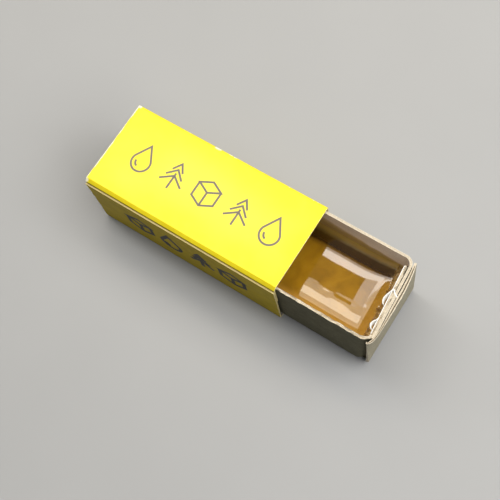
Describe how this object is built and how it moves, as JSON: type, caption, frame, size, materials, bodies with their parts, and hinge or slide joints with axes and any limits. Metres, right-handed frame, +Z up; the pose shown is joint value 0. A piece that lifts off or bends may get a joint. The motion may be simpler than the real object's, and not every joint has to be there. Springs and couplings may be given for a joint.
{
  "type": "boxed rosin cake",
  "caption": "Block of amber rosin cast in a greyboard tray that slides inside an open-ended yellow card sleeve.",
  "frame": {"origin": "centre of the sleeve's underside, which is the face the box rests on", "axes": "+X along the box towards the end where the tray stands pulled out, +Y towards the side wall without the glued seam, +Z up"},
  "size_m": [0.0795, 0.024, 0.0218],
  "materials": {
    "printed_card": "satin",
    "greyboard": "matte",
    "dried_glue": "satin",
    "white_paper": "matte",
    "rosin": "gloss"
  },
  "bodies": {
    "sleeve": {"sleeve_top_panel": "printed_card", "sleeve_far_wall": "printed_card", "sleeve_bottom_panel": "printed_card", "sleeve_near_wall": "printed_card", "sleeve_glue_flap": "printed_card", "sleeve_glue_strip": "dried_glue"},
    "tray": {"tray_floor": "greyboard", "tray_near_wall": "greyboard", "tray_far_wall": "greyboard", "mouth_end_flap": "greyboard", "mouth_near_tab": "greyboard", "mouth_far_tab": "greyboard", "mouth_glue_pad": "dried_glue", "mouth_paper_skin": "white_paper", "rear_end_flap": "greyboard", "rear_near_tab": "greyboard", "rear_far_tab": "greyboard", "rear_glue_pad": "dried_glue", "rosin_cake": "rosin", "rosin_crust": "rosin"}
  },
  "joints": [
    {"name": "tray_slide", "type": "slide", "parent": "sleeve", "child": "tray", "axis": [1, 0, 0], "range_m": [-0.07705, 0.02845]}
  ]
}
